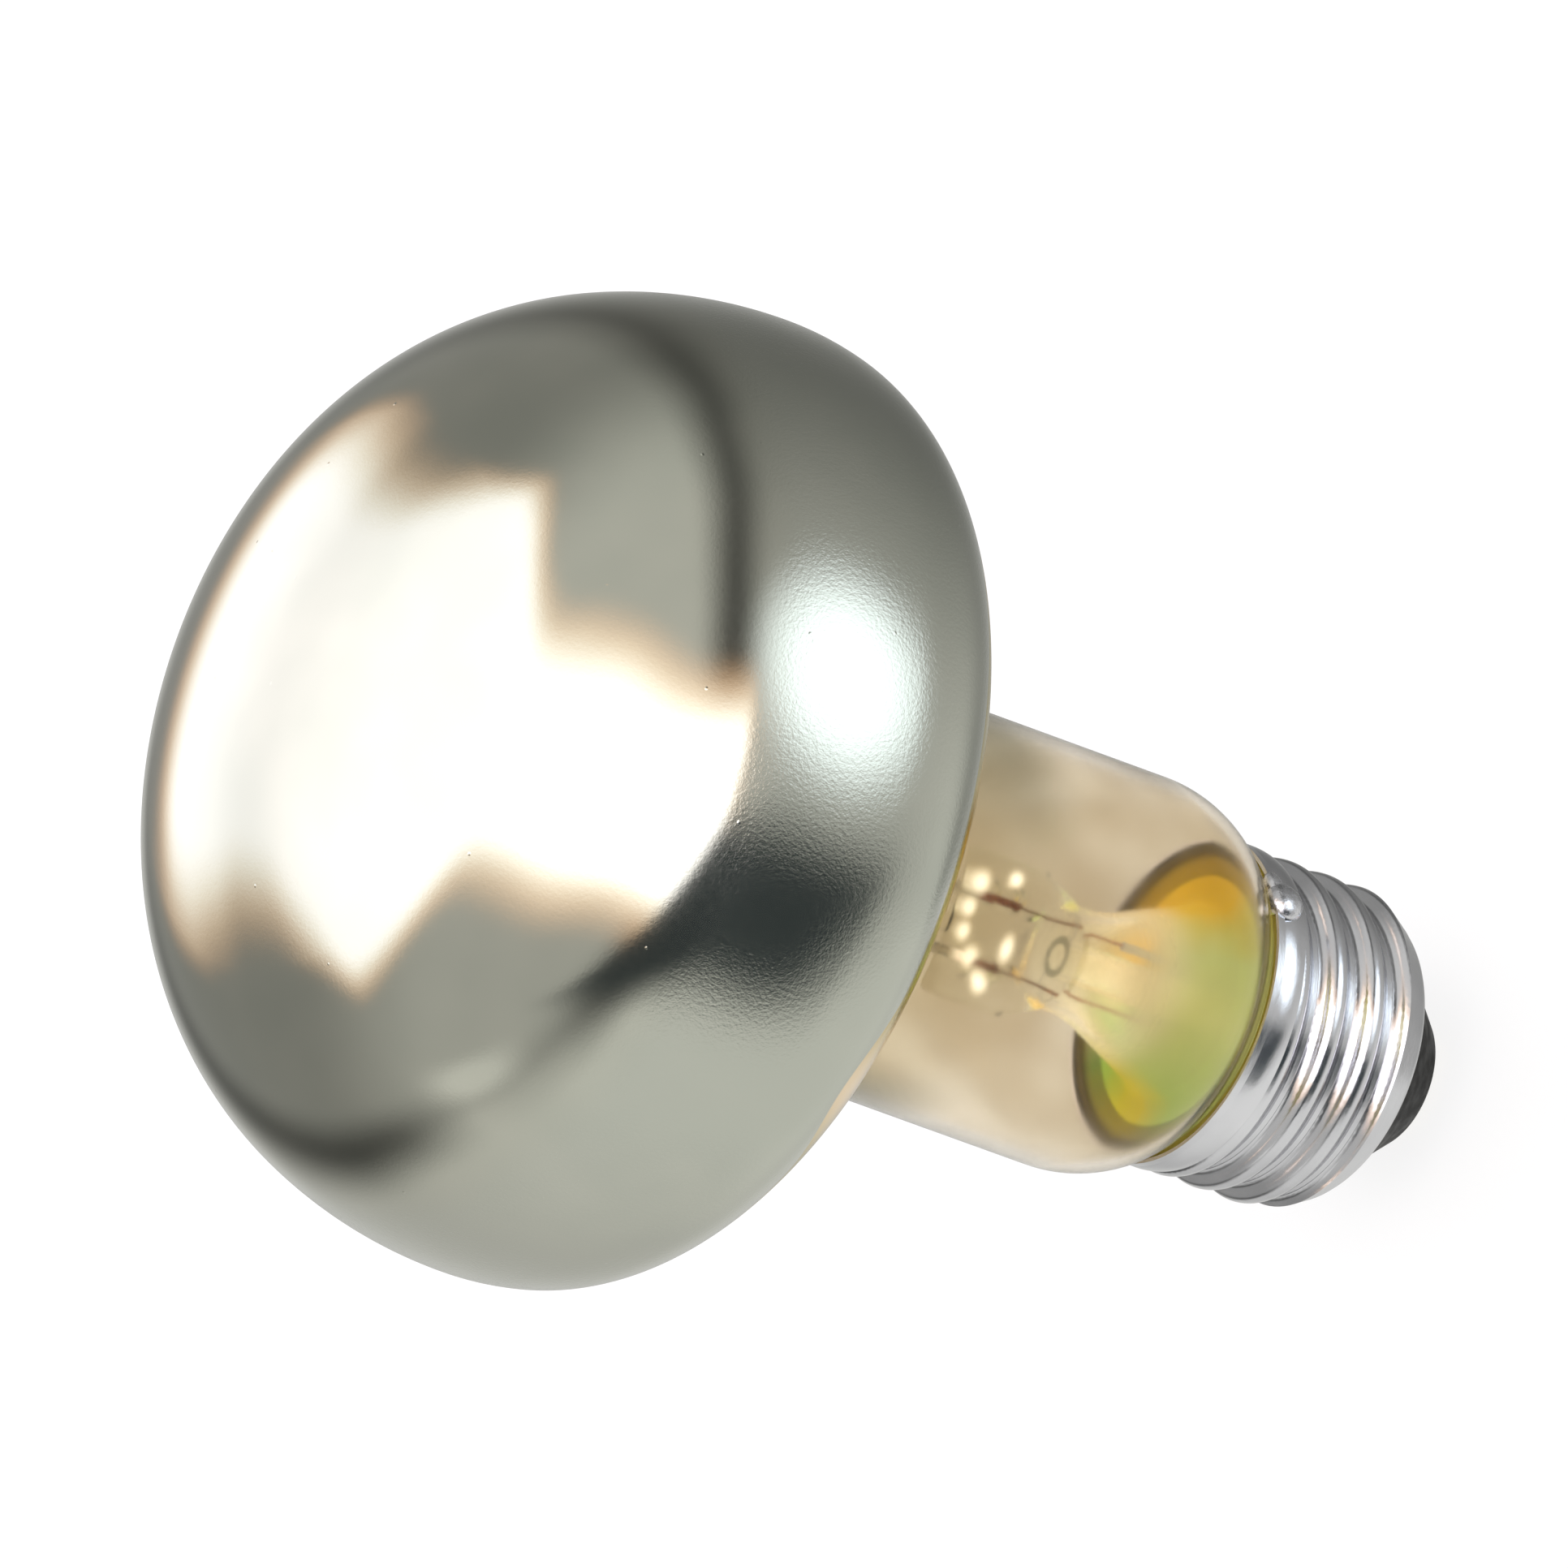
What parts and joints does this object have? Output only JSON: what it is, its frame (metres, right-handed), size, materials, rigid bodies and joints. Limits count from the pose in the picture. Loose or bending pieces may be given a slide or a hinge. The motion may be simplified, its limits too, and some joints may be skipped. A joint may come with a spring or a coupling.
{
  "type": "reptile basking bulb",
  "caption": "Reflector heat bulb with a domed head, satin silvered bowl, clear glass neck with a fused stem and a rolled screw cap.",
  "frame": {"origin": "centre of the flat end of the centre contact's solder, the lowest point of the cap", "axes": "+Z runs along the lamp's axis from the cap to the domed face; -Y is the side seen in the picture, and the rim solder stands between +X and -Y"},
  "size_m": [0.078, 0.078, 0.1104],
  "materials": {
    "envelope": "satin, silvered inside the head and bowl, clear champagne tint in the neck",
    "clear_glass": "clear, polished",
    "nickel_wire": "drawn wire",
    "copper_wire": "drawn copper-clad wire",
    "filament_wire": "dark coiled tungsten",
    "cap_aluminium": "bright rolled",
    "black_glass": "black, polished",
    "contact_brass": "polished",
    "solder": "bright soft solder",
    "cement": "matte resin and marble-powder cement"
  },
  "bodies": {
    "root": {"glass_envelope": "envelope", "glass_stem": "clear_glass", "glass_arbor": "clear_glass", "exhaust_tube": "clear_glass", "inner_lead_rim": "nickel_wire", "inner_lead_centre": "nickel_wire", "outer_lead_rim": "copper_wire", "outer_lead_centre": "copper_wire", "filament_support_1": "filament_wire", "filament_support_2": "filament_wire", "filament_support_3": "filament_wire", "filament": "filament_wire", "cap_shell": "cap_aluminium", "insulator": "black_glass", "contact_plate": "contact_brass", "centre_solder": "solder", "rim_solder": "solder", "basing_cement": "cement"}
  },
  "joints": []
}
